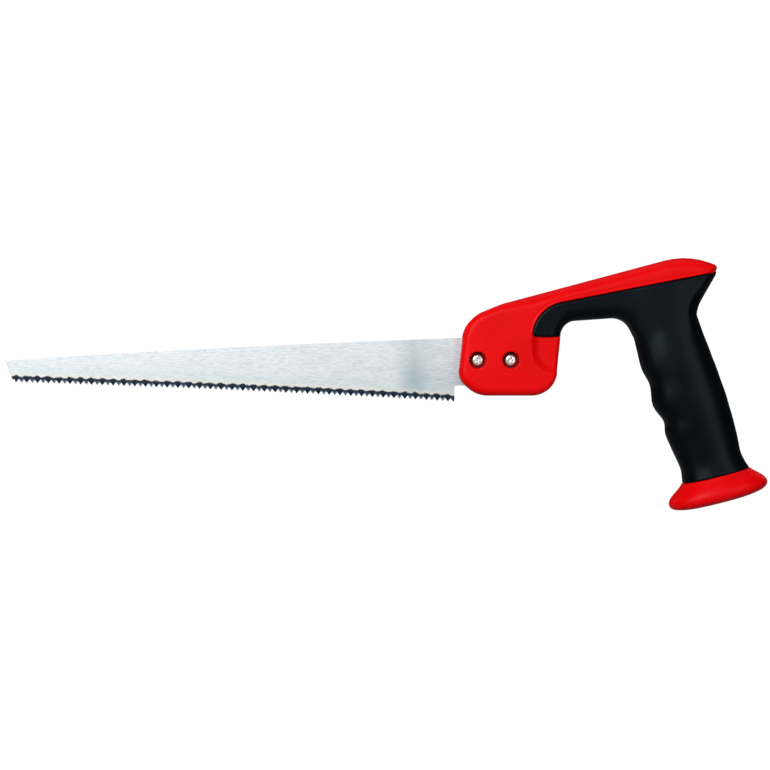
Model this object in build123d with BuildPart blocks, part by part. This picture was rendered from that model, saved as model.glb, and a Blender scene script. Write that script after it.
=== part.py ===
"""A compass saw with a pistol grip: a tapered hard-point blade bolted into the head of a moulded handle.

Millimetres. +X runs from the blade's tip towards the handle, +Z is up as the saw is used, away from the
teeth, and Y is the thickness. The origin is the middle of the grip, on the blade's mid-plane.
"""

import os
from math import atan2, copysign, cos, pi, radians, sin

from build123d import *

os.makedirs("parts", exist_ok=True)

# --- Blade: 7 teeth an inch along a nominal 300 mm -------------------------------------------------------
BLADE_THICKNESS = 1.2
TOOTH_PITCH = 25.4 / 7
TOOTH_COUNT = 82
TOOTH_DEPTH = 2.3
LAST_POINT = Vector(-158.9, -1.1)  # the tooth point nearest the handle
TOOTH_LINE_SLOPE = radians(2.51)
TOOTH_LINE_CROWN = 1.0  # the tooth line and the back both bow up slightly
TOE = [(-453.7, 14.3), (-454.5, 13.7), (-455.9, 15.9), (-460.0, 26.6)]  # part tooth and slanted end
BACK_MIDDLE = Vector(-308.9, 35.3)
BACK_AT_HEAD = Vector(-157.8, 41.6)
TANG_TOP_REAR = Vector(-110.5, 43.2)
HEEL_X = -158.2
HEEL_BOTTOM = -0.1
TANG_BOTTOM = 9.7
TANG_CORNER = 5.0
HEEL_FILLET = 1.6
HOLE_RADIUS = 2.2

# --- Blade screws: M4 pan heads on the near side, M4 nuts on the far side ------------------------------
SCREW_X = {"front": -143.0, "rear": -121.0}
SCREW_Z = 26.7
SCREW_RADIUS = 2.0
SCREW_HEAD_RADIUS = 4.0
SCREW_HEAD_HEIGHT = 2.6
SCREW_HEAD_EDGE = 1.3
SCREW_LENGTH = 14.0
SCREW_POINT = 0.5
DRIVE_SPAN = 4.2
DRIVE_WIDTH = 1.0
DRIVE_DEPTH = 1.7
NUT_FLATS = 7.0
NUT_HEIGHT = 3.2
NUT_BORE_RADIUS = 2.03
NUT_CHAMFER = 0.4
SEAT = 4.6  # from the mid-plane to the faces that a screw head and a nut bear on
RECESS_RADIUS = 5.5
NUT_POCKET_GAP = 0.15

# --- Handle, side outline --------------------------------------------------------------------------------
HEAD_HALF = 12.0
HEAD_EDGE = 5.0
BRIDGE_HALF = 11.3
BRIDGE_EDGE = 8.0
SLOT_GAP = 0.1
# Corners with their rounding: up the head's front, along the spine, round the tail, and, below the tail,
# down into the grip, up round the finger opening and under the head.
OUTLINE = [
    ((-156.1, 14.2), 11.0),
    ((-152.0, 48.8), 20.0),
    ((-143.1, 57.6), 18.0),
    ((-126.7, 64.35), 40.0),
    ((-2.6, 97.5), 50.0),
    ((18.4, 89.9), 5.2),
    ((3.0, 60.0), 24.0),
    ((6.0, 33.0), 10.0),
    ((-31.0, 30.0), 10.0),
    ((-44.5, 55.5), 13.0),
    ((-86.4, 52.6), 11.0),
    ((-91.6, 3.0), 17.0),
    ((-142.8, 3.0), 18.0),
]
# The soft grip's own corners at the tail, rounder so that its larger edge radius fits.
SOFT_TAIL = {4: ((-3.3, 96.6), 30.0), 5: ((19.7, 89.3), 8.5)}
# Where hard plastic meets soft: under the spine, round the hook and back to the finger opening.
SEAM = [((60.0, 94.0), 0), ((-103.3, 62.0), 24.0), ((-107.2, 42.2), 3.0), ((-60.0, 42.2), 0)]
SCOOP_CENTRE = (-86.0, 36.0)
SCOOP_RADII = (18.8, 16.7)  # at its floor; the walls lean outwards
SCOOP_HALF = 8.6  # half the thickness left at the finger rest
SCOOP_TAPER = 35.0  # lean of the walls, in degrees

# --- Grip and the hard parts inside it --------------------------------------------------------------------
RUBBER_WALL = 4.0
SKELETON_HALF = 7.0
STEM_TOP = -52.0  # along the grip's axis; negative is above the origin
STEM_SIZE = (34.0, 20.0)
STEM_CORNER = 6.0
STEM_WALL = 3.0
SECTION_POWER = 2.35
GRIP_TILT = atan2(1, 3)
# Distance along the grip's axis, front edge, back edge, half thickness.
GRIP_SECTIONS = [
    (-88.0, -16.0, 26.0, 9.6),
    (-70.0, -20.5, 23.5, 11.2),
    (-52.0, -22.3, 22.0, 13.4),
    (-42.0, -23.2, 22.1, 14.4),
    (-34.0, -24.0, 22.7, 15.1),
    (-27.0, -23.8, 23.0, 15.5),
    (-18.5, -22.2, 23.4, 15.8),
    (-12.0, -23.3, 23.6, 15.9),
    (-5.0, -24.7, 23.7, 16.0),
    (2.0, -23.1, 23.9, 15.9),
    (8.0, -21.0, 23.7, 15.8),
    (13.0, -21.9, 23.5, 15.7),
    (19.0, -22.8, 23.3, 15.5),
    (26.0, -22.1, 22.8, 15.2),
    (34.0, -21.2, 22.1, 14.9),
    (45.0, -20.6, 20.8, 14.9),
    (52.0, -22.3, 22.1, 16.0),
    (60.0, -25.6, 25.6, 17.8),
]

# --- Pommel ------------------------------------------------------------------------------------------------
SEAT_CENTRE = Vector(17.15, 0, -50.45)  # middle of the joint between the grip and the pommel
POMMEL_TILT = radians(14.2)
# Distance below that joint, shift along it, half length, half width.
POMMEL_SECTIONS = [
    (0.0, 0.0, 22.9, 16.8),
    (3.0, 0.1, 25.9, 18.4),
    (6.0, -0.4, 29.9, 20.1),
    (9.0, -1.0, 33.0, 21.4),
    (12.0, -1.3, 33.8, 21.8),
    (15.0, -2.0, 32.4, 20.8),
    (16.6, -2.6, 28.4, 18.2),
    (17.6, -3.6, 22.3, 14.0),
]
CAP_WALL = 3.0
SPIGOT_LENGTH = 16.0
SPIGOT_WALL = 2.0
SPIGOT_GAP = 0.15
CATCH_SIZE = (10.0, 4.0)  # across the grip, along it
CATCH_HEIGHT = 1.0
CATCH_BELOW_TOP = 4.0
CATCH_GAP = 0.2

SIDE = Plane.XZ  # x is X and y is Z
grip_down = Vector(sin(GRIP_TILT), 0, -cos(GRIP_TILT))
grip_back = Vector(cos(GRIP_TILT), 0, sin(GRIP_TILT))
pommel_down = Vector(sin(POMMEL_TILT), 0, -cos(POMMEL_TILT))
pommel_back = Vector(cos(POMMEL_TILT), 0, sin(POMMEL_TILT))
pommel_plane = Plane(SEAT_CENTRE, x_dir=pommel_back, z_dir=pommel_down)
seat_distance = SEAT_CENTRE.dot(grip_down)


def across_grip(distance):
    """The plane across the grip at that distance along its axis."""
    return Plane(grip_down * distance, x_dir=grip_back, z_dir=grip_down)


def oval(centre, half_length, half_width, count=24):
    """Points round a superellipse, for a closed spline."""
    points = []
    for i in range(count):
        angle = 2 * pi * i / count
        x = copysign(abs(cos(angle)) ** (2 / SECTION_POWER), cos(angle))
        y = copysign(abs(sin(angle)) ** (2 / SECTION_POWER), sin(angle))
        points.append((centre + half_length * x, half_width * y))
    return points


def side_view(corners):
    """A flat sketch of a side outline, with rounded corners."""
    with BuildSketch() as face:
        with BuildLine():
            FilletPolyline(*[point for point, _ in corners], radius=[r for _, r in corners], close=True)
        make_face()
    return face.sketch


def slab(corners, half_thickness, edge_radius):
    """A side outline as a slab with rounded edges."""
    with BuildPart() as rounded:
        with BuildSketch(SIDE):
            add(side_view(corners))
        extrude(amount=half_thickness, both=True)
        fillet(rounded.faces().filter_by(Axis.Y).edges(), radius=edge_radius)
    return rounded.part


def save(part, name):
    part.label = name
    export_step(part, f"parts/{name}.step")


soft_outline = [SOFT_TAIL.get(i, corner) for i, corner in enumerate(OUTLINE)]

# --- Blade ------------------------------------------------------------------------------------------------
tooth_line_length = TOOTH_PITCH * (TOOTH_COUNT - 1)
tooth_points = []
for i in range(2 * TOOTH_COUNT - 1):
    forward = i * TOOTH_PITCH / 2
    share = forward / tooth_line_length
    rise = forward * sin(TOOTH_LINE_SLOPE) + 4 * TOOTH_LINE_CROWN * share * (1 - share)
    gullet = TOOTH_DEPTH if i % 2 else 0
    tooth_points.append(LAST_POINT + Vector(-forward * cos(TOOTH_LINE_SLOPE), rise + gullet))
heel_corner = Vector(HEEL_X, TANG_BOTTOM)
tang_bottom_rear = Vector(TANG_TOP_REAR.X, TANG_BOTTOM)

with BuildPart() as blade:
    with BuildSketch(SIDE):
        with BuildSketch() as blade_outline:
            with BuildLine():
                Polyline(*tooth_points, *TOE)
                ThreePointArc(TOE[-1], BACK_MIDDLE, BACK_AT_HEAD)
                Polyline(BACK_AT_HEAD, TANG_TOP_REAR, tang_bottom_rear, heel_corner)
                Polyline(heel_corner, (HEEL_X, HEEL_BOTTOM), LAST_POINT)
            make_face()
            chamfer(blade_outline.vertices().group_by(Axis.X)[-1], TANG_CORNER)
            fillet(blade_outline.vertices().sort_by_distance(heel_corner)[0], HEEL_FILLET)
    extrude(amount=BLADE_THICKNESS / 2, both=True)
    with BuildSketch(SIDE):
        with Locations(*[(x, SCREW_Z) for x in SCREW_X.values()]):
            Circle(HOLE_RADIUS)
    extrude(amount=BLADE_THICKNESS, both=True, mode=Mode.SUBTRACT)
save(blade.part, "blade")

# --- The space on the hard side of the seam ----------------------------------------------------------------
with BuildPart() as hard_side:
    with BuildSketch(SIDE):
        with BuildLine():
            seam = FilletPolyline(*[p for p, _ in SEAM], radius=[r for _, r in SEAM[1:-1]])
            Polyline(seam @ 1, (-60, -30), (-190, -30), (-190, 130), (60, 130), seam @ 0)
        make_face()
    extrude(amount=40, both=True)

# --- Skeleton and stem, buried in the soft grip ----------------------------------------------------------
with BuildPart() as bones:
    with BuildSketch(SIDE):
        add(side_view(OUTLINE))
        offset(amount=-RUBBER_WALL)
    extrude(amount=SKELETON_HALF, both=True)
    with BuildSketch(across_grip(STEM_TOP)):
        RectangleRounded(*STEM_SIZE, STEM_CORNER)
    extrude(amount=seat_distance - STEM_TOP + STEM_SIZE[0])
    split(bisect_by=pommel_plane, keep=Keep.BOTTOM)

# --- Soft grip --------------------------------------------------------------------------------------------
with BuildPart() as grip_overmould:
    for distance, front, back, half_width in GRIP_SECTIONS:
        with BuildSketch(across_grip(distance)):
            with BuildLine():
                Spline(*oval((front + back) / 2, (back - front) / 2, half_width), periodic=True)
            make_face()
    loft()
    add(slab(soft_outline, BRIDGE_HALF, BRIDGE_EDGE))
    split(bisect_by=pommel_plane, keep=Keep.BOTTOM)
    add(hard_side.part, mode=Mode.SUBTRACT)
    add(bones.part, mode=Mode.SUBTRACT)
save(grip_overmould.part, "grip_overmould")

# --- Hard handle moulding --------------------------------------------------------------------------------
cavity = (STEM_SIZE[0] - 2 * STEM_WALL, STEM_SIZE[1] - 2 * STEM_WALL)
cavity_corner = STEM_CORNER - STEM_WALL
catch_plane = across_grip(seat_distance - SPIGOT_LENGTH + CATCH_BELOW_TOP)
catch_span = cavity[1] + 2 * CATCH_HEIGHT
near_seat = SIDE.offset(SEAT)
far_seat = SIDE.offset(-SEAT)

scoop_width, scoop_height = 2 * SCOOP_RADII[0], 2 * SCOOP_RADII[1]
scoop_top = SEAM[-1][0][1]

with BuildPart() as finger_rest:
    with BuildSketch(SIDE.offset(SCOOP_HALF)):
        with Locations(SCOOP_CENTRE):
            Ellipse(*SCOOP_RADII)
            Rectangle(scoop_width, scoop_height, align=(Align.CENTER, Align.MIN))
        with Locations((SCOOP_CENTRE[0], scoop_top)):
            Rectangle(scoop_width, 2 * scoop_height, align=(Align.CENTER, Align.MAX), mode=Mode.INTERSECT)
    extrude(amount=HEAD_HALF - SCOOP_HALF + 1, taper=-SCOOP_TAPER)
    mirror(about=SIDE)

with BuildPart() as handle_core:
    add(slab(OUTLINE, HEAD_HALF, HEAD_EDGE))
    add(hard_side.part, mode=Mode.INTERSECT)
    add(finger_rest.part, mode=Mode.SUBTRACT)
    add(bones.part)
    # Blade slot, open at the front of the head.
    with BuildSketch(SIDE):
        with BuildLine():
            Polyline(heel_corner, BACK_AT_HEAD, TANG_TOP_REAR, tang_bottom_rear, close=True)
        make_face()
        offset(amount=SLOT_GAP, kind=Kind.INTERSECTION)
    extrude(amount=BLADE_THICKNESS / 2 + SLOT_GAP, both=True, mode=Mode.SUBTRACT)
    # Screw holes, round recesses for the heads and hexagonal pockets for the nuts.
    screw_points = [(x, SCREW_Z) for x in SCREW_X.values()]
    with BuildSketch(SIDE):
        with Locations(*screw_points):
            Circle(HOLE_RADIUS)
    extrude(amount=HEAD_HALF, both=True, mode=Mode.SUBTRACT)
    with BuildSketch(near_seat):
        with Locations(*screw_points):
            Circle(RECESS_RADIUS)
    extrude(amount=HEAD_HALF, mode=Mode.SUBTRACT)
    with BuildSketch(far_seat):
        with Locations(*screw_points):
            RegularPolygon(NUT_FLATS / 2 + NUT_POCKET_GAP, 6, major_radius=False)
    extrude(amount=-HEAD_HALF, mode=Mode.SUBTRACT)
    # Hollow stem with two pockets for the pommel's catches.
    with BuildSketch(across_grip(STEM_TOP + STEM_WALL)):
        RectangleRounded(*cavity, cavity_corner)
    extrude(amount=seat_distance - STEM_TOP + STEM_SIZE[0], mode=Mode.SUBTRACT)
    with BuildSketch(catch_plane):
        Rectangle(CATCH_SIZE[0] + 2 * CATCH_GAP, catch_span + 2 * CATCH_GAP)
    extrude(amount=CATCH_SIZE[1] / 2 + CATCH_GAP, both=True, mode=Mode.SUBTRACT)
save(handle_core.part, "handle_core")

# --- Pommel -----------------------------------------------------------------------------------------------
spigot = (cavity[0] - 2 * SPIGOT_GAP, cavity[1] - 2 * SPIGOT_GAP)
spigot_top = across_grip(seat_distance - SPIGOT_LENGTH)
cap_depth = POMMEL_SECTIONS[-1][0]

with BuildPart() as pommel_cap:
    for distance, shift, half_length, half_width in POMMEL_SECTIONS:
        with BuildSketch(pommel_plane.offset(distance)):
            with BuildLine():
                Spline(*oval(shift, half_length, half_width), periodic=True)
            make_face()
    loft()
    with BuildSketch(spigot_top):
        RectangleRounded(*spigot, cavity_corner)
    extrude(amount=SPIGOT_LENGTH + cap_depth / 2)
    with BuildSketch(catch_plane):
        Rectangle(CATCH_SIZE[0], catch_span)
    extrude(amount=CATCH_SIZE[1] / 2, both=True)
    with BuildSketch(spigot_top):
        RectangleRounded(spigot[0] - 2 * SPIGOT_WALL, spigot[1] - 2 * SPIGOT_WALL, cavity_corner - 1)
    extrude(amount=SPIGOT_LENGTH + cap_depth - 2 * CAP_WALL, mode=Mode.SUBTRACT)
save(pommel_cap.part, "pommel_cap")

# --- Screws and nuts --------------------------------------------------------------------------------------
for place, x in SCREW_X.items():
    with BuildPart() as screw:
        with BuildSketch(near_seat):
            with Locations((x, SCREW_Z)):
                Circle(SCREW_HEAD_RADIUS)
        extrude(amount=SCREW_HEAD_HEIGHT)
        fillet(screw.edges().sort_by(Axis.Y)[0], radius=SCREW_HEAD_EDGE)
        with BuildSketch(near_seat):
            with Locations((x, SCREW_Z)):
                Circle(SCREW_RADIUS)
        extrude(amount=-SCREW_LENGTH)
        chamfer(screw.edges().sort_by(Axis.Y)[-1], SCREW_POINT)
        with BuildSketch(near_seat.offset(SCREW_HEAD_HEIGHT)):
            with Locations((x, SCREW_Z)):
                Rectangle(DRIVE_SPAN, DRIVE_WIDTH)
                Rectangle(DRIVE_WIDTH, DRIVE_SPAN)
        extrude(amount=-DRIVE_DEPTH, mode=Mode.SUBTRACT)
    save(screw.part, f"{place}_blade_screw")

    with BuildPart() as nut:
        with BuildSketch(far_seat):
            with Locations((x, SCREW_Z)):
                RegularPolygon(NUT_FLATS / 2, 6, major_radius=False)
        extrude(amount=-NUT_HEIGHT)
        chamfer(nut.faces().sort_by(Axis.Y)[-1].edges(), NUT_CHAMFER)
        with BuildSketch(far_seat):
            with Locations((x, SCREW_Z)):
                Circle(NUT_BORE_RADIUS)
        extrude(amount=-NUT_HEIGHT, mode=Mode.SUBTRACT)
    save(nut.part, f"{place}_blade_nut")
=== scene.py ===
import math

import bmesh
import bpy
import numpy as np
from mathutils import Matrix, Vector
from mathutils.geometry import tessellate_polygon


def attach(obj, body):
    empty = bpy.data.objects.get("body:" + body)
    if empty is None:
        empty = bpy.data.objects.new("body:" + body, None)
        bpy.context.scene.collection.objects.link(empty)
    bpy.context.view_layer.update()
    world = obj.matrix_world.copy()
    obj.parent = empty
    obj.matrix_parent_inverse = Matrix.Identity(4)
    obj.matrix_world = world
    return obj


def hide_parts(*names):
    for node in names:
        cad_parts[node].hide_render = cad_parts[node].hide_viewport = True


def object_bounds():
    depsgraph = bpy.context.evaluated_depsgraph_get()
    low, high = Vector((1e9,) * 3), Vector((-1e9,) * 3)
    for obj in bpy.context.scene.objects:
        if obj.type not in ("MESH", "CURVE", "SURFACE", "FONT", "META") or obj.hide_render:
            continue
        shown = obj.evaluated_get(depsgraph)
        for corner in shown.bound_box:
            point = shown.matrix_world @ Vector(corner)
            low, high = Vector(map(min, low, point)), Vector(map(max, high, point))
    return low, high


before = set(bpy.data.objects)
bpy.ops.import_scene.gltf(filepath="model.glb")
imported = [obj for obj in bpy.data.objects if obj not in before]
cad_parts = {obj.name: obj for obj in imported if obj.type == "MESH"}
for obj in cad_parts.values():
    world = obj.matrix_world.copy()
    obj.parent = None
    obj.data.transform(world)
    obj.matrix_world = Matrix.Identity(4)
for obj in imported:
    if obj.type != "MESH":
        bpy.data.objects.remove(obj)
cad_lo, cad_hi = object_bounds()
centre = (cad_lo + cad_hi) / 2
span = cad_hi - cad_lo
MM = 0.001

# ---------------------------------------------------------------- camera
VIEW_DISTANCE = 1.1
FRAME_MARGIN = 1.0107  # width of the picture over the width of the object
SENSOR = 36.0
CAMERA_SHIFT = (-0.0006, -0.0003)  # from the middle of the object, in X and Z

camera_data = bpy.data.cameras.new("view_camera")
camera_data.sensor_width = SENSOR
camera_data.lens = SENSOR * VIEW_DISTANCE / (span.x * FRAME_MARGIN)
camera = bpy.data.objects.new("view_camera", camera_data)
camera.location = (centre.x + CAMERA_SHIFT[0], -VIEW_DISTANCE, centre.z + CAMERA_SHIFT[1])
camera.rotation_euler = (math.pi / 2, 0, 0)
bpy.context.scene.collection.objects.link(camera)
bpy.context.scene.camera = camera


# ---------------------------------------------------------------- node helpers
class Shader:
    """A material whose nodes are added one call at a time."""

    def __init__(self, name):
        self.material = bpy.data.materials.new(name)
        self.material.use_nodes = True
        self.tree = self.material.node_tree
        self.nodes, self.links = self.tree.nodes, self.tree.links
        self.bsdf = self.nodes["Principled BSDF"]
        self.place = self.nodes.new("ShaderNodeTexCoord").outputs["Object"]

    def set(self, **values):
        for key, value in values.items():
            self.bsdf.inputs[key.replace("_", " ")].default_value = value
        return self

    def link(self, output, key):
        self.links.new(output, self.bsdf.inputs[key])

    def put(self, socket, value):
        if isinstance(value, bpy.types.NodeSocket):
            self.links.new(value, socket)
        else:
            socket.default_value = value

    def math(self, operation, a, b=0.0, clamp=False):
        node = self.nodes.new("ShaderNodeMath")
        node.operation, node.use_clamp = operation, clamp
        self.put(node.inputs[0], a)
        self.put(node.inputs[1], b)
        return node.outputs[0]

    def stretched(self, scale):
        node = self.nodes.new("ShaderNodeMapping")
        node.inputs["Scale"].default_value = scale
        self.links.new(self.place, node.inputs["Vector"])
        return node.outputs[0]

    def noise(self, scale, detail=3.0, rough=0.55, stretch=None, distortion=0.0):
        node = self.nodes.new("ShaderNodeTexNoise")
        node.inputs["Scale"].default_value = scale
        node.inputs["Detail"].default_value = detail
        node.inputs["Roughness"].default_value = rough
        node.inputs["Distortion"].default_value = distortion
        self.links.new(self.stretched(stretch) if stretch else self.place, node.inputs["Vector"])
        return node.outputs["Fac"]

    def remap(self, value, low, high, to_low=0.0, to_high=1.0, smooth=True):
        node = self.nodes.new("ShaderNodeMapRange")
        node.interpolation_type = "SMOOTHSTEP" if smooth else "LINEAR"
        for key, number in zip(range(1, 5), (low, high, to_low, to_high)):
            self.put(node.inputs[key], number)
        self.put(node.inputs[0], value)
        return node.outputs[0]

    def blend(self, factor, a, b, mode="MIX"):
        node = self.nodes.new("ShaderNodeMix")
        node.data_type, node.blend_type = "RGBA", mode
        self.put(node.inputs[0], factor)
        for socket, value in ((node.inputs[6], a), (node.inputs[7], b)):
            self.put(socket, value if isinstance(value, bpy.types.NodeSocket) else (*value, 1.0))
        return node.outputs[2]

    def bump(self, layers):
        """Stacked bumps: (height output, strength, distance) from coarse to fine."""
        normal = None
        for height, strength, distance in layers:
            node = self.nodes.new("ShaderNodeBump")
            node.inputs["Strength"].default_value = strength
            node.inputs["Distance"].default_value = distance
            self.links.new(height, node.inputs["Height"])
            if normal:
                self.links.new(normal, node.inputs["Normal"])
            normal = node.outputs[0]
        self.link(normal, "Normal")

    def axis(self, letter):
        node = self.nodes.new("ShaderNodeSeparateXYZ")
        self.links.new(self.place, node.inputs[0])
        return node.outputs[letter]

    def openness(self, reach):
        """1 where the surface faces free space, towards 0 deep in a hollow narrower than reach."""
        node = self.nodes.new("ShaderNodeAmbientOcclusion")
        node.samples = 8
        node.inputs["Distance"].default_value = reach
        return node.outputs["AO"]


# ---------------------------------------------------------------- materials
def red_plastic():
    """Satin moulded plastic, with painted shade in narrow hollows."""
    s = Shader("red_plastic")
    s.set(Roughness=0.38, Specular_IOR_Level=0.08)
    cloud = s.noise(38, 3)
    tone = s.blend(s.remap(cloud, 0.35, 0.7), (0.73, 0.0006, 0.0014), (0.79, 0.0016, 0.0032))
    # painted shade: the colour turns dark red where the surface lies deep in a narrow hollow, such as the
    # screw recesses, the seam and the finger rest
    tone = s.blend(s.remap(s.openness(0.006), 0.72, 0.30, 0.0, 0.97), tone, (0.20, 0.0006, 0.0008))
    s.link(tone, "Base Color")
    s.link(s.remap(s.noise(900, 2), 0.3, 0.7, 0.34, 0.44), "Roughness")
    s.bump([(s.noise(1400, 2), 0.06, 0.00004)])
    return s.material


def black_rubber():
    """Smooth soft-touch plastic."""
    s = Shader("black_soft_plastic")
    s.set(Roughness=0.34, Specular_IOR_Level=0.13, Specular_Tint=(0.6, 0.85, 1.0, 1.0))
    cloud = s.noise(45, 3)
    s.link(s.blend(s.remap(cloud, 0.35, 0.7), (0.0006, 0.0012, 0.0020), (0.0012, 0.0024, 0.0036)),
           "Base Color")
    s.link(s.remap(s.noise(1500, 2), 0.3, 0.7, 0.30, 0.38), "Roughness")
    s.bump([(s.noise(2600, 2), 0.2, 0.00005)])
    return s.material


def blade_steel(line, dark_tooth, period):
    """Brushed steel, with a dark hardened band along the tooth line z = line(x), in millimetres.

    The band is a little higher above every other tooth, counted from dark_tooth.
    """
    s = Shader("blade_steel")
    s.set(Metallic=0.5, Roughness=0.45, Anisotropic=0.5, Specular_IOR_Level=0.2)
    across, _, up = (s.axis(k) for k in "XYZ")
    curve = s.math("MULTIPLY", s.math("MULTIPLY", across, across), float(line[0]) / MM)
    sloped = s.math("ADD", curve, s.math("MULTIPLY", across, float(line[1])))
    above = s.math("SUBTRACT", s.math("SUBTRACT", up, sloped), float(line[2]) * MM)
    fine = s.noise(2600, 2, stretch=(0.05, 1, 1))
    long = s.noise(1900, 3, stretch=(0.12, 1, 1))
    cloud = s.noise(26, 2, stretch=(1, 1, 0.5))
    tone = s.blend(s.remap(long, 0.3, 0.7), (0.48, 0.52, 0.54), (0.67, 0.71, 0.73))
    tone = s.blend(s.remap(fine, 0.35, 0.75, 0.0, 0.6), tone, (0.73, 0.76, 0.775))
    tone = s.blend(s.remap(cloud, 0.45, 0.8, 0.0, 0.3), tone, (0.66, 0.72, 0.74))
    # painted reflection: a soft dark stretch across the blade, ahead of the handle, darker nearer the
    # teeth
    band = s.math("MULTIPLY", s.remap(across, -0.201, -0.184), s.remap(across, -0.171, -0.186, 0.4, 1.0))
    band = s.math("MULTIPLY", band, s.remap(above, 0.036, 0.008, 0.42, 0.85))
    tone = s.blend(band, tone, (0.30, 0.38, 0.42))
    tone = s.blend(s.remap(above, 0.016, 0.004, 0.0, 0.35), tone, (0.48, 0.60, 0.58))
    # height above the tooth line, made uneven by noise and by every other tooth
    ragged = s.math("MULTIPLY", s.math("SUBTRACT", s.noise(420, 3), 0.5), 0.0022)
    turn = s.math("MULTIPLY", s.math("SUBTRACT", across, dark_tooth * MM), 2 * math.pi / (period * MM))
    wave = s.math("MULTIPLY", s.math("COSINE", turn), -0.00045)
    height = s.math("ADD", s.math("ADD", above, ragged), wave)
    # a straw tint above the band, and the band itself
    straw = s.math("MULTIPLY", s.remap(height, 0.0035, 0.0048), s.remap(height, 0.0075, 0.0050))
    tone = s.blend(s.math("MULTIPLY", straw, 0.35), tone, (0.85, 0.74, 0.56))
    hard = s.remap(height, 0.0050, 0.0040)
    blue = s.blend(s.noise(900, 2), (0.003, 0.006, 0.014), (0.018, 0.030, 0.060))
    s.link(s.blend(hard, tone, blue), "Base Color")
    s.link(s.remap(fine, 0.3, 0.7, 0.38, 0.52), "Roughness")
    s.bump([(long, 0.06, 0.00005), (fine, 0.12, 0.00003)])
    return s.material


def tooth_facet():
    """Filed tooth flanks, brighter than the hardened band around them."""
    s = Shader("tooth_facet")
    s.set(Metallic=0.35, Roughness=0.4)
    s.link(s.blend(s.noise(1500, 2), (0.22, 0.36, 0.58), (0.60, 0.75, 0.92)), "Base Color")
    s.link(s.remap(s.noise(2500, 2), 0.3, 0.7, 0.28, 0.45), "Roughness")
    return s.material


def plated():
    """Bright zinc plate."""
    s = Shader("plated_steel")
    s.set(Metallic=0.85, Roughness=0.24)
    s.link(s.blend(s.noise(400, 2), (0.82, 0.79, 0.76), (0.95, 0.93, 0.90)), "Base Color")
    return s.material


MATERIALS = {"red_plastic": red_plastic(), "black_soft_plastic": black_rubber(),
             "tooth_facet": tooth_facet(), "plated_steel": plated()}


# ---------------------------------------------------------------- meshes
def shown(name, verts, faces, material, smooth=True):
    """A new object from points in millimetres."""
    mesh = bpy.data.meshes.new(name)
    mesh.from_pydata((np.asarray(verts) * MM).tolist(), [], [list(map(int, f)) for f in faces])
    mesh.materials.append(MATERIALS[material])
    mesh.polygons.foreach_set("use_smooth", [smooth] * len(mesh.polygons))
    mesh.update()
    piece = bpy.data.objects.new(name, mesh)
    bpy.context.scene.collection.objects.link(piece)
    return piece


def stands_for(piece, node):
    """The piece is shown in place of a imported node."""
    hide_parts(node)
    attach(piece, "root")


def smoothstep(low, high, value):
    u = np.clip((value - low) / (high - low), 0, 1)
    return u * u * (3 - 2 * u)


def soft_max(a, b, reach):
    """The larger of two fields, rounded over where they are within reach."""
    h = np.clip(reach - np.abs(a - b), 0, None) / reach
    return np.maximum(a, b) + h * h * reach / 4


def soft_min(a, b, reach):
    return -soft_max(-a, -b, reach)


def rounded(corners, step=6):
    """A closed path along corners, each rounded by its radius, with a point every few degrees of arc."""
    path = []
    count = len(corners)
    for i, (corner, radius) in enumerate(corners):
        p = np.array(corner)
        if radius == 0:
            path.append(p)
            continue
        before, after = np.array(corners[i - 1][0]), np.array(corners[(i + 1) % count][0])
        u, v = before - p, after - p
        u, v = u / np.linalg.norm(u), v / np.linalg.norm(v)
        half = math.acos(np.clip(u @ v, -1, 1)) / 2
        middle = (u + v) / np.linalg.norm(u + v)
        hub = p + middle * radius / math.sin(half)
        first, last = p + u * radius / math.tan(half), p + v * radius / math.tan(half)
        a0, a1 = (math.atan2(*(q - hub)[::-1]) for q in (first, last))
        turn = (a1 - a0 + math.pi) % (2 * math.pi) - math.pi
        for angle in np.linspace(a0, a0 + turn, max(3, int(abs(math.degrees(turn)) / step) + 1)):
            path.append(hub + radius * np.array((math.cos(angle), math.sin(angle))))
    return np.array(path)


def inside_distance(path, x, z):
    """Distance to a closed path, positive inside it."""
    nearest = np.full(x.shape, 1e9, np.float32)
    inside = np.zeros(x.shape, bool)
    for (ax, az), (bx, bz) in zip(path, np.roll(path, -1, axis=0)):
        ex, ez = bx - ax, bz - az
        px, pz = x - ax, z - az
        along = np.clip((px * ex + pz * ez) / (ex * ex + ez * ez + 1e-12), 0, 1)
        nearest = np.minimum(nearest, (px - along * ex) ** 2 + (pz - along * ez) ** 2)
        if az != bz:
            inside ^= ((az > z) != (bz > z)) & (x < ex * (z - az) / ez + ax)
    return np.where(inside, 1, -1) * np.sqrt(nearest)


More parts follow.
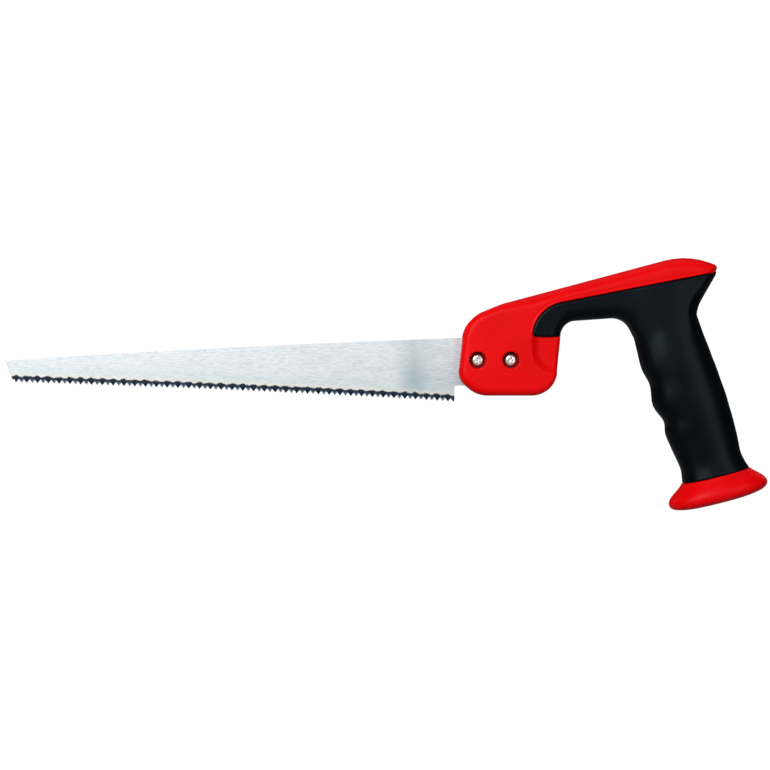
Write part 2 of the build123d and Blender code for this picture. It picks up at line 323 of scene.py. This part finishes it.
class Field:
    """A solid as a field on a grid, negative inside, and the surface where it is zero."""

    def __init__(self, low, high, step):
        self.low, self.step = np.array(low, float), step
        count = [int(math.ceil((b - a) / step)) + 1 for a, b in zip(low, high)]
        self.x, self.y, self.z = (a + step * np.arange(n) for a, n in zip(low, count))
        self.X, self.Z = np.meshgrid(self.x, self.z, indexing="ij")
        self.side = np.abs(self.y)[None, :, None].astype(np.float32)

    def flat(self, values):
        """A side-view field spread through the thickness."""
        return np.asarray(values, np.float32)[:, None, :]

    def slab(self, inside, half, edge):
        """The side outline extruded to half on each side, with its rims rounded by edge."""
        a = self.flat(edge - inside)
        b = self.side - self.flat(half - edge)
        outer = np.sqrt(np.maximum(a, 0) ** 2 + np.maximum(b, 0) ** 2)
        return outer + np.minimum(np.maximum(a, b), 0) - self.flat(edge)

    def sample(self, field, points):
        """The field's value at any points, linear between the grid's."""
        g = (points - self.low) / self.step
        top = np.array(field.shape) - 2
        i = np.clip(np.floor(g).astype(int), 0, top)
        f = np.clip(g - i, 0, 1)
        total = 0
        for dx in (0, 1):
            for dy in (0, 1):
                for dz in (0, 1):
                    weight = (f[:, 0] if dx else 1 - f[:, 0]) * (f[:, 1] if dy else 1 - f[:, 1])
                    weight = weight * (f[:, 2] if dz else 1 - f[:, 2])
                    total = total + weight * field[i[:, 0] + dx, i[:, 1] + dy, i[:, 2] + dz]
        return total

    def surface(self, field, rounds=4):
        """Points and four-sided faces of the zero surface, evened out and pulled back onto it."""
        shape = np.array(field.shape)
        cells, spots = [], []
        for axis in range(3):
            lower = [slice(None)] * 3
            upper = [slice(None)] * 3
            lower[axis], upper[axis] = slice(0, -1), slice(1, None)
            a, b = field[tuple(lower)], field[tuple(upper)]
            index = np.argwhere((a < 0) != (b < 0))
            va, vb = a[tuple(index.T)], b[tuple(index.T)]
            index = index.astype(float)
            spot = index.copy()
            spot[:, axis] += va / (va - vb)
            p, q = [k for k in range(3) if k != axis]
            corners = []
            for dp, dq in ((0, 0), (1, 0), (1, 1), (0, 1)):
                cell = index.copy()
                cell[:, p] -= dp
                cell[:, q] -= dq
                corners.append((cell[:, 0] * shape[1] + cell[:, 1]) * shape[2] + cell[:, 2])
            corners = np.stack(corners, 1)
            flip = (va < 0) != (axis == 1)
            corners[flip] = corners[flip][:, ::-1]
            cells.append(corners.ravel())
            spots.append(np.repeat(spot, 4, axis=0))
        cells, spots = np.concatenate(cells), np.concatenate(spots)
        where = np.unique(cells, return_inverse=True)[1]
        count = np.bincount(where)
        points = np.stack([np.bincount(where, spots[:, k]) / count for k in range(3)], 1)
        points = points * self.step + self.low
        quads = where.reshape(-1, 4)
        edges = np.concatenate([quads[:, [0, 1]], quads[:, [1, 2]], quads[:, [2, 3]], quads[:, [3, 0]]])
        degree = np.bincount(edges.ravel(), minlength=len(points))[:, None]
        for _ in range(rounds):
            total = np.zeros_like(points)
            for k in range(3):
                total[:, k] = (np.bincount(edges[:, 0], points[edges[:, 1], k], len(points))
                               + np.bincount(edges[:, 1], points[edges[:, 0], k], len(points)))
            points = 0.4 * points + 0.6 * total / degree
            points = self.pull(field, points)
        return points, quads

    def pull(self, field, points, reach=0.6):
        """The points moved towards the zero surface, by at most reach cells."""
        h = self.step * 0.75
        slope = np.stack([self.sample(field, points + h * np.eye(3)[k])
                          - self.sample(field, points - h * np.eye(3)[k]) for k in range(3)], 1) / (2 * h)
        value = self.sample(field, points)
        steepness = np.maximum((slope ** 2).sum(1), 0.05)
        move = -(value / steepness)[:, None] * slope
        length = np.linalg.norm(move, axis=1, keepdims=True)
        return points + move * np.minimum(1, reach * self.step / np.maximum(length, 1e-9))


# ---------------------------------------------------------------- handle
# Half thickness and edge radius of the head. Its edges are rounder along the spine and tighter by the
# finger opening.
HEAD_HALF, HEAD_EDGE, SPINE_EXTRA, OPENING_LESS = 12.0, 5.0, 3.5, 1.6
BRIDGE_HALF, BRIDGE_EDGE = 11.3, 8.0
# Side outline, as corners with their rounding: up the head's front, along the spine, round the tail,
# down into the grip, up round the finger opening and under the head.
OUTLINE = [((-156.1, 14.2), 11), ((-152.0, 48.8), 20), ((-143.1, 57.6), 18), ((-126.7, 64.35), 40),
           ((-2.6, 97.5), 50), ((18.4, 89.9), 2.8), ((3.0, 60.0), 24), ((6.0, 33.0), 10),
           ((-31.0, 30.0), 10), ((-44.5, 55.5), 13), ((-86.4, 52.6), 11), ((-91.6, 3.0), 17),
           ((-142.8, 3.0), 18)]
# The soft grip's own corners at the tail.
SOFT_OUTLINE = list(OUTLINE)
SOFT_OUTLINE[4:6] = [((-3.3, 96.6), 30), ((19.7, 89.3), 5.6)]
# The hard side of the seam: under the spine, round the hook and back to the finger opening, and from
# there outside the handle.
SEAM = [((60.0, 94.0), 0), ((-103.3, 62.0), 24), ((-107.2, 42.2), 3), ((-60.0, 42.2), 0),
        ((-60.0, -40.0), 0), ((-200.0, -40.0), 0), ((-200.0, 140.0), 0), ((60.0, 140.0), 0)]
SCOOP_CENTRE, SCOOP_RADII, SCOOP_DEPTH = (-86.0, 36.0), (21.2, 18.9), 3.4
SCOOP_POWER, SCOOP_WALL = 2.5, 0.36  # squareness of its outline, and the share of its radius that slopes
SCREW_Z = 26.7
SCREWS = {"front": -143.0, "rear": -121.0}
RECESS_RADIUS, SEAT = 5.6, 4.6
NUT_FLATS, NUT_HEIGHT, NUT_POCKET_GAP = 7.0, 3.2, 0.1
# The rolled lip along the seam and the groove beside it: how far from the seam, and how proud or deep.
LIP_PLACE, LIP_HEIGHT = 0.5, 0.22
GROOVE_PLACE, GROOVE_DEPTH = 1.9, 0.34
LIP_WIDTH = 0.6
SECTION_POWER = 2.35
GRIP_AXIS = np.array((1, -3)) / math.sqrt(10)
GRIP_BACK = np.array((3, 1)) / math.sqrt(10)
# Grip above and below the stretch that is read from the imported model: distance, front, back, half width.
GRIP_TOP = [(-88, -16.0, 26.0, 9.6), (-70, -20.5, 23.5, 11.2), (-54, -22.2, 22.2, 13.2)]
GRIP_END = [(52, -22.3, 22.1, 16.0), (60, -25.6, 25.6, 17.8)]
READ_FROM, READ_TO = -38.0, 44.0
# The joint between the grip and the pommel: its middle, and the direction that leaves the grip.
JOINT = np.array((17.15, -50.45))
JOINT_TILT = math.radians(14.2)
LEAVE = np.array((math.sin(JOINT_TILT), -math.cos(JOINT_TILT)))
HEX_TURNS = (0, math.pi / 3, 2 * math.pi / 3)


def below_joint(x, z):
    """Distance past the joint with the pommel, positive on the pommel's side."""
    return (x - JOINT[0]) * LEAVE[0] + (z - JOINT[1]) * LEAVE[1]


def hexagon(x, z):
    """Distance from the middle of a hexagon, measured square to its nearest pair of flats."""
    return np.maximum.reduce([np.abs(x * math.sin(a) + z * math.cos(a)) for a in HEX_TURNS])


def smoothed(fine, rows, column, spread, reach):
    """One column of a table of sections, read at evenly spaced places and evened out."""
    kernel = np.exp(-0.5 * (np.arange(-reach, reach + 1) / spread) ** 2)
    values = np.interp(fine, rows[:, 0], rows[:, column])
    return np.convolve(np.pad(values, reach, mode="edge"), kernel / kernel.sum(), "valid")


def grip_profile():
    """Front edge, back edge and half width of the grip along its axis, as functions."""
    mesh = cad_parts["grip_overmould"].data
    co = np.empty(len(mesh.vertices) * 3)
    mesh.vertices.foreach_get("co", co)
    co = co.reshape(-1, 3) / MM
    ends = np.empty(len(mesh.edges) * 2, int)
    mesh.edges.foreach_get("vertices", ends)
    a, b = co[ends[0::2]], co[ends[1::2]]
    ta, tb = a[:, [0, 2]] @ GRIP_AXIS, b[:, [0, 2]] @ GRIP_AXIS
    rows = []
    for t in np.arange(READ_FROM, READ_TO + 0.5, 1.0):
        cut = (ta < t) != (tb < t)
        share = ((t - ta[cut]) / (tb[cut] - ta[cut]))[:, None]
        hit = a[cut] + share * (b[cut] - a[cut])
        depth = hit[:, [0, 2]] @ GRIP_BACK
        rows.append((t, depth.min(), depth.max(), np.abs(hit[:, 1]).max()))
    rows = np.array(GRIP_TOP + rows + GRIP_END)
    fine = np.arange(GRIP_TOP[0][0], GRIP_END[-1][0] + 0.25, 0.5)
    columns = [smoothed(fine, rows, k, 3.5, 8) for k in (1, 2, 3)]
    return lambda t: [np.interp(t, fine, c) for c in columns]


profile = grip_profile()


def make_core():
    """The hard moulding that shows: head, spine and tail."""
    f = Field((-158.5, -13.5, 1.0), (21.5, 13.5, 95.5), 0.42)
    x, z = f.X, f.Z
    inside = inside_distance(rounded(OUTLINE), x, z)
    hard = inside_distance(rounded(SEAM), x, z)
    half = np.full(x.shape, HEAD_HALF)
    # rolled lip along the seam, above a shallow groove
    near = (z > 43.2) | (x < -100)
    lip = LIP_HEIGHT * np.exp(-((hard - LIP_PLACE) / LIP_WIDTH) ** 2)
    groove = GROOVE_DEPTH * np.exp(-((hard - GROOVE_PLACE) / LIP_WIDTH) ** 2)
    half = half + np.where(near, lip - groove, 0) * smoothstep(39.0, 45.0, z)
    # finger rest, a bowl that runs out at the finger opening
    ex = np.maximum(SCOOP_CENTRE[0] - x, 0) / SCOOP_RADII[0]
    ez = np.maximum(SCOOP_CENTRE[1] - z, 0) / SCOOP_RADII[1]
    around = (ex ** SCOOP_POWER + ez ** SCOOP_POWER) ** (1 / SCOOP_POWER)
    wall = np.clip((1 - around) / SCOOP_WALL, 0, 1)
    half = half - SCOOP_DEPTH * np.sin(wall * math.pi / 2) ** 0.9 * (z < 45)
    edge = HEAD_EDGE + SPINE_EXTRA * smoothstep(-140, -100, x) * smoothstep(46, 60, z)
    edge = edge - OPENING_LESS * smoothstep(-100, -95, x) * (1 - smoothstep(40, 50, z))
    body = f.slab(inside, half, edge)
    # cut at the seam, with a fine gap that closes deeper down
    gap = 0.12 - 1.2 * (1 - smoothstep(8.5, 10.0, f.side))
    body = soft_max(body, f.flat(-hard) + gap * smoothstep(41.0, 43.5, f.flat(z)), 0.9)
    for screw_x in SCREWS.values():
        ring = np.hypot(x - screw_x, z - SCREW_Z)
        near_side = np.maximum(f.flat(ring - RECESS_RADIUS), f.y[None, :, None] + SEAT)
        body = soft_max(body, -near_side, 0.8)
        flat = hexagon(x - screw_x, z - SCREW_Z) - NUT_FLATS / 2 - NUT_POCKET_GAP
        far_side = np.maximum(f.flat(flat), SEAT - f.y[None, :, None])
        body = soft_max(body, -far_side, 0.5)
    points, quads = f.surface(body)
    piece = shown("hard_handle", points, quads, "red_plastic")
    stands_for(piece, "handle_core")
    return piece


def make_grip():
    """The soft grip: hook, bridge and grip in one skin."""
    f = Field((-109.5, -18.8, -66.0), (54.0, 18.8, 91.5), 0.52)
    x, z = f.X, f.Z
    inside = inside_distance(rounded(SOFT_OUTLINE), x, z)
    hard = inside_distance(rounded(SEAM), x, z)
    t, b = x * GRIP_AXIS[0] + z * GRIP_AXIS[1], x * GRIP_BACK[0] + z * GRIP_BACK[1]
    front, back, width = profile(t)
    middle, deep = (front + back) / 2, (back - front) / 2
    across = np.abs(b - middle) / deep
    slab = f.slab(inside, np.full(x.shape, BRIDGE_HALF), np.full(x.shape, BRIDGE_EDGE))
    p = SECTION_POWER
    ring = (f.flat(across ** p) + (f.side / f.flat(width)) ** p) ** (1 / p)
    grip = (ring - 1) * f.flat(np.minimum(width, deep))
    grip = np.maximum(grip, f.flat(GRIP_TOP[0][0] - t))
    outer = np.maximum(inside, (1 - across) * deep * (t > GRIP_TOP[0][0]))
    body = soft_min(slab, grip, f.flat(0.4 + 6 * smoothstep(0, 9, outer) * smoothstep(30, 70, z)))
    gap = 0.1 - 1.0 * (1 - smoothstep(7.5, 9.0, f.side))
    body = soft_max(body, f.flat(hard) + gap, 1.3)
    body = soft_max(body, f.flat(below_joint(x, z)), 1.0)
    points, quads = f.surface(body)
    piece = shown("soft_grip", points, quads, "black_soft_plastic")
    stands_for(piece, "grip_overmould")
    return piece


# Pommel: distance below the joint, shift along it, half length, half width.
POMMEL_SECTIONS = [(-4.0, 0.0, 22.6, 16.4), (0.0, 0.0, 22.9, 16.8), (3.0, 0.1, 25.9, 18.4),
                   (6.0, -0.4, 29.9, 20.1), (9.0, -1.0, 33.0, 21.4), (12.0, -1.3, 33.8, 21.8),
                   (15.0, -2.0, 32.4, 20.8), (16.6, -2.6, 28.4, 18.2), (17.6, -3.6, 22.3, 14.0),
                   (20.0, -5.0, 10.0, 6.0)]
CAP_DEPTH, CAP_WALL = 17.6, 3.0
SPIGOT, SPIGOT_CORNER, SPIGOT_LENGTH, SPIGOT_WALL = (27.7, 13.7), 3.0, 16.0, 2.0
CATCH, CATCH_BELOW_TOP = (10.0, 15.7, 4.0), 4.0


def make_pommel():
    """The flared cap, with the hollow spigot that plugs into the stem."""
    f = Field((-15.0, -22.4, -75.0), (53.0, 22.4, -29.0), 0.56)
    x, z = f.X, f.Z
    below = below_joint(x, z)
    along = (x - JOINT[0]) * -LEAVE[1] + (z - JOINT[1]) * LEAVE[0]
    rows = np.array(POMMEL_SECTIONS)
    fine = np.arange(rows[0, 0], rows[-1, 0], 0.1)
    shift, length, width = (np.interp(below, fine, smoothed(fine, rows, k, 9.0, 20)) for k in (1, 2, 3))
    p = SECTION_POWER
    ring = (f.flat(np.abs((along - shift) / length) ** p) + (f.side / f.flat(width)) ** p) ** (1 / p)
    cap = soft_max((ring - 1) * f.flat(np.minimum(width, length)), f.flat(below - CAP_DEPTH), 1.6)
    cap = soft_max(cap, f.flat(-below), 0.5)
    t, b = x * GRIP_AXIS[0] + z * GRIP_AXIS[1], np.abs(x * GRIP_BACK[0] + z * GRIP_BACK[1])
    seat = JOINT @ GRIP_AXIS
    top = seat - SPIGOT_LENGTH

    def block(size, corner):
        a = np.clip(f.flat(b - size[0] / 2 + corner), 0, None)
        c = np.clip(f.side - size[1] / 2 + corner, 0, None)
        return np.hypot(a, c) - corner

    plug = np.maximum(block(SPIGOT, SPIGOT_CORNER), f.flat(np.maximum(top - t, below - 4)))
    catch = np.maximum(np.maximum(f.flat(b - CATCH[0] / 2), f.side - CATCH[1] / 2),
                       f.flat(np.abs(t - top - CATCH_BELOW_TOP) - CATCH[2] / 2))
    bore = block([side - 2 * SPIGOT_WALL for side in SPIGOT], SPIGOT_CORNER - 1)
    bore = np.maximum(bore, f.flat(t - seat - CAP_DEPTH + 2 * CAP_WALL))
    body = soft_max(np.minimum(np.minimum(cap, plug), catch), -bore, 0.5)
    points, quads = f.surface(body)
    piece = shown("pommel", points, quads, "red_plastic")
    stands_for(piece, "pommel_cap")
    return piece


# ---------------------------------------------------------------- blade
TOOTH_BEVEL = 0.8
TOOTH_SET = 0.16
TOOTH_HALF_ANGLE = math.atan2(1.0, 1.27)
TOOTH_RISE = 1.5  # a tooth's point is at least this far below both of its neighbours
TOOTH_TOP = 20.0  # and below this height


def flat_loops(node):
    """The closed outlines of a flat node's near face, the outer one first, and its half thickness."""
    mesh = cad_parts[node].data
    co = np.empty(len(mesh.vertices) * 3)
    mesh.vertices.foreach_get("co", co)
    co = np.round(co.reshape(-1, 3) / MM, 4)
    half = -co[:, 1].min()
    near = np.abs(co[:, 1] + half) < 1e-3
    seen = {}
    for polygon in mesh.polygons:
        if all(near[v] for v in polygon.vertices):
            ring = [tuple(co[v, [0, 2]]) for v in polygon.vertices]
            for a, b in zip(ring, ring[1:] + ring[:1]):
                seen[(a, b)] = seen.get((a, b), 0) + 1
    follow = {a: b for a, b in seen if (b, a) not in seen}
    loops = []
    while follow:
        start = next(iter(follow))
        loop, here = [start], follow.pop(start)
        while here != start:
            loop.append(here)
            here = follow.pop(here)
        loops.append(np.array(loop))
    loops.sort(key=lambda loop: -np.ptp(loop[:, 0]))
    return loops, half


def make_blade():
    """The blade with filed and set teeth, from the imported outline."""
    loops, half = flat_loops("blade")
    outer = loops[0]
    if (outer[:, 0] * np.roll(outer[:, 1], -1) - np.roll(outer[:, 0], -1) * outer[:, 1]).sum() < 0:
        outer = outer[::-1]
    count = len(outer)
    rise = np.roll(outer[:, 1], 1) - outer[:, 1], np.roll(outer[:, 1], -1) - outer[:, 1]
    low = outer[:, 1] < TOOTH_TOP
    tips = [i for i in range(count) if min(rise[0][i], rise[1][i]) > TOOTH_RISE and low[i]]
    number = {i: k for k, i in enumerate(tips)}
    shift = {-1: outer.copy(), 1: outer.copy()}
    lean = np.zeros(count)
    for i, k in number.items():
        bevelled = -1 if k % 2 else 1
        up = (outer[(i + 1) % count] + outer[i - 1]) / 2 - outer[i]
        up = up / np.linalg.norm(up)
        shift[bevelled][i] = outer[i] + up * TOOTH_BEVEL / math.sin(TOOTH_HALF_ANGLE)
        lean[i] = TOOTH_SET * bevelled
    for i in range(count):
        left, right = (i - 1) % count, (i + 1) % count
        if left in number and right in number:
            for tooth, other in ((left, right), (right, left)):
                bevelled = -1 if number[tooth] % 2 else 1
                flank = outer[i] - outer[other]
                flank = flank / np.linalg.norm(flank)
                shift[bevelled][i] = outer[i] + flank * TOOTH_BEVEL / math.sin(2 * TOOTH_HALF_ANGLE)
    verts, faces, marks, rows = [], [], [], {}
    for side in (-1, 1):
        rows[side] = len(verts)
        verts += [(x, side * half + lean[i], z) for i, (x, z) in enumerate(shift[side])]
    holes = []
    for loop in loops[1:]:
        holes.append({})
        for side in (-1, 1):
            holes[-1][side] = len(verts)
            verts += [(x, side * half, z) for x, z in loop]
    body = [i for i in range(count) if i not in number]
    for side in (-1, 1):
        rings = [[(rows[side] + i) for i in body]]
        rings += [[hole[side] + i for i in range(len(loop))] for hole, loop in zip(holes, loops[1:])]
        flat = [v for ring in rings for v in ring]
        points = [[Vector((verts[v][0], verts[v][2], 0)) for v in ring] for ring in rings]
        for triangle in tessellate_polygon(points):
            faces.append([flat[v] for v in triangle])
            marks.append(0)
        for i in tips:
            faces.append([rows[side] + (i - 1) % count, rows[side] + i, rows[side] + (i + 1) % count])
            marks.append(0)
    for i in range(count):
        j = (i + 1) % count
        faces.append([rows[-1] + i, rows[-1] + j, rows[1] + j, rows[1] + i])
        marks.append(1 if i in number or j in number else 0)
    for hole, loop in zip(holes, loops[1:]):
        for i in range(len(loop)):
            j = (i + 1) % len(loop)
            faces.append([hole[-1] + i, hole[-1] + j, hole[1] + j, hole[1] + i])
            marks.append(0)
    line = np.polyfit(outer[tips][:, 0], outer[tips][:, 1], 2)
    across = np.sort(outer[tips][:, 0])
    pitch = float(np.median(np.diff(across)))
    MATERIALS["blade_steel"] = blade_steel(line, float(outer[tips[0], 0]), 2 * pitch)
    piece = shown("toothed_blade", verts, faces, "blade_steel", smooth=False)
    piece.data.materials.append(MATERIALS["tooth_facet"])
    piece.data.polygons.foreach_set("material_index", marks)
    tidy = bmesh.new()
    tidy.from_mesh(piece.data)
    bmesh.ops.recalc_face_normals(tidy, faces=tidy.faces)
    tidy.to_mesh(piece.data)
    tidy.free()
    stands_for(piece, "blade")
    return piece


# ---------------------------------------------------------------- fasteners
HEAD_RADIUS, HEAD_HEIGHT, SHANK_RADIUS, SHANK_END = 4.0, 2.6, 2.0, 9.4
THREAD_PITCH, THREAD_DEPTH, BORE_DEPTH = 0.7, 0.22, 0.12
# The cross recess: half the span and half the width of its arms where they open, and its depth.
DRIVE_HALF_SPAN, DRIVE_HALF_WIDTH, DRIVE_DEPTH = 2.05, 0.5, 1.7


def thread(f, y):
    """A helical wave between 0 and 1, one turn for each pitch along Y."""
    spin = f.flat(np.arctan2(f.Z, f.X)) / (2 * math.pi) + y / THREAD_PITCH
    return np.abs((spin % 1.0) - 0.5) * 2


def make_screw(name, node, screw_x, turn):
    """Pan-head screw with a cross recess and a cut thread."""
    f = Field((-4.3, -SEAT - HEAD_HEIGHT - 0.3, -4.3), (4.3, SHANK_END + 0.3, 4.3), 0.11)
    x, z, y = f.X, f.Z, f.y[None, :, None]
    radius = np.hypot(x, z)
    height = -y - SEAT
    dome = ((f.flat(radius) / HEAD_RADIUS) ** 4 + np.clip(height / HEAD_HEIGHT, 0, None) ** 4) ** 0.25
    head = soft_max((dome - 1) * HEAD_HEIGHT, -height, 0.5)
    point = smoothstep(SHANK_END - 0.5, SHANK_END, y)
    threaded = smoothstep(0.5, 1.5, y) * (1 - point)
    shank = f.flat(radius) - SHANK_RADIUS + THREAD_DEPTH * thread(f, y) * threaded + 0.4 * point
    shank = np.maximum.reduce([shank, y - SHANK_END + 0 * shank, -y - SEAT - 0.5 + 0 * shank])
    body = np.minimum(head, shank)
    u = x * math.cos(turn) + z * math.sin(turn)
    v = z * math.cos(turn) - x * math.sin(turn)
    depth = HEAD_HEIGHT - height
    reach, width = DRIVE_HALF_SPAN - 0.62 * depth, DRIVE_HALF_WIDTH - 0.1 * depth
    arms = [np.maximum(f.flat(np.abs(a)) - reach, f.flat(np.abs(b)) - width) for a, b in ((u, v), (v, u))]
    cross = np.maximum(np.minimum(*arms), depth - DRIVE_DEPTH)
    body = soft_max(body, -cross, 0.2)
    points, quads = f.surface(body, rounds=2)
    piece = shown(name, points + np.array((screw_x, 0, SCREW_Z)), quads, "plated_steel")
    stands_for(piece, node)
    return piece


def make_nut(name, node, screw_x):
    """Hexagon nut with chamfered corners and a countersunk, threaded bore."""
    f = Field((-4.4, SEAT - 0.3, -4.4), (4.4, SEAT + NUT_HEIGHT + 0.3, 4.4), 0.12)
    x, z, y = f.X, f.Z, f.y[None, :, None]
    radius = f.flat(np.hypot(x, z))
    middle = np.abs(y - SEAT - NUT_HEIGHT / 2) - NUT_HEIGHT / 2
    body = soft_max(f.flat(hexagon(x, z) - NUT_FLATS / 2), middle + 0 * radius, 0.25)
    body = soft_max(body, (radius - 3.55 + middle * 0.58) * 0.86, 0.2)
    bore = SHANK_RADIUS + BORE_DEPTH - radius - BORE_DEPTH * thread(f, y)
    bore = np.maximum(bore, SHANK_RADIUS + 0.45 + middle - radius)
    body = soft_max(body, bore, 0.15)
    points, quads = f.surface(body, rounds=2)
    piece = shown(name, points + np.array((screw_x, 0, SCREW_Z)), quads, "plated_steel")
    stands_for(piece, node)
    return piece


make_core()
make_grip()
make_pommel()
make_blade()
for end, turn in (("front", 0.35), ("rear", 1.1)):
    make_screw(end + "_screw", end + "_blade_screw", SCREWS[end], turn)
    make_nut(end + "_nut", end + "_blade_nut", SCREWS[end])


# ---------------------------------------------------------------- stage
FLOOR_DROP = 0.19
BACKDROP, AMBIENT = 1.05, 0.06  # strength of the white surroundings, as seen and as light
floor_mesh = bpy.data.meshes.new("floor")
bm = bmesh.new()
bmesh.ops.create_grid(bm, x_segments=2, y_segments=2, size=30)
bm.to_mesh(floor_mesh)
bm.free()
floor = bpy.data.objects.new("floor", floor_mesh)
floor.location = (centre.x, 0, cad_lo.z - FLOOR_DROP)
bpy.context.scene.collection.objects.link(floor)
s = Shader("pale_floor")
s.set(Roughness=0.9, Specular_IOR_Level=0.1)
s.bsdf.inputs["Base Color"].default_value = (0.25, 0.25, 0.25, 1)
s.bsdf.inputs["Emission Color"].default_value = (1, 1, 1, 1)
seen_from_camera = s.nodes.new("ShaderNodeLightPath").outputs["Is Camera Ray"]
s.link(seen_from_camera, "Emission Strength")
floor_mesh.materials.append(s.material)

world = bpy.data.worlds.new("studio")
bpy.context.scene.world = world
world.use_nodes = True
nodes, links = world.node_tree.nodes, world.node_tree.links
seen, fill = nodes["Background"], nodes.new("ShaderNodeBackground")
seen.inputs["Color"].default_value = (1, 1, 1, 1)
seen.inputs["Strength"].default_value = BACKDROP
fill.inputs["Color"].default_value = (1, 1, 1, 1)
fill.inputs["Strength"].default_value = AMBIENT
path, choose = nodes.new("ShaderNodeLightPath"), nodes.new("ShaderNodeMixShader")
links.new(path.outputs["Is Camera Ray"], choose.inputs[0])
links.new(fill.outputs[0], choose.inputs[1])
links.new(seen.outputs[0], choose.inputs[2])
links.new(choose.outputs[0], nodes["World Output"].inputs["Surface"])


def softbox(name, place, size, power, reflected=True):
    """A rectangular light that faces the middle of the object, with its place measured from there."""
    lamp = bpy.data.lights.new(name, "AREA")
    lamp.shape, lamp.size, lamp.size_y, lamp.energy = "RECTANGLE", size[0], size[1], power
    box = bpy.data.objects.new(name, lamp)
    box.location = centre + Vector(place)
    box.visible_glossy = reflected
    box.rotation_euler = Vector(place).to_track_quat("Z", "Y").to_euler()
    bpy.context.scene.collection.objects.link(box)


softbox("key_light", (-0.5, -1.5, 0.62), (1.0, 0.7), 24)
softbox("fill_light", (0.8, -1.2, 0.25), (0.6, 0.9), 4)
softbox("top_light", (0.1, 0.1, 1.3), (1.6, 0.7), 3)
softbox("tip_light", (-0.8, -1.2, 0.05), (0.3, 0.5), 1.6)
softbox("back_left_light", (-1.3, 1.0, 0.6), (0.8, 0.8), 14, reflected=False)
softbox("back_right_light", (1.3, 1.0, 0.6), (0.8, 0.8), 14, reflected=False)

scene = bpy.context.scene
scene.view_settings.view_transform = "Standard"
scene.view_settings.look = "None"
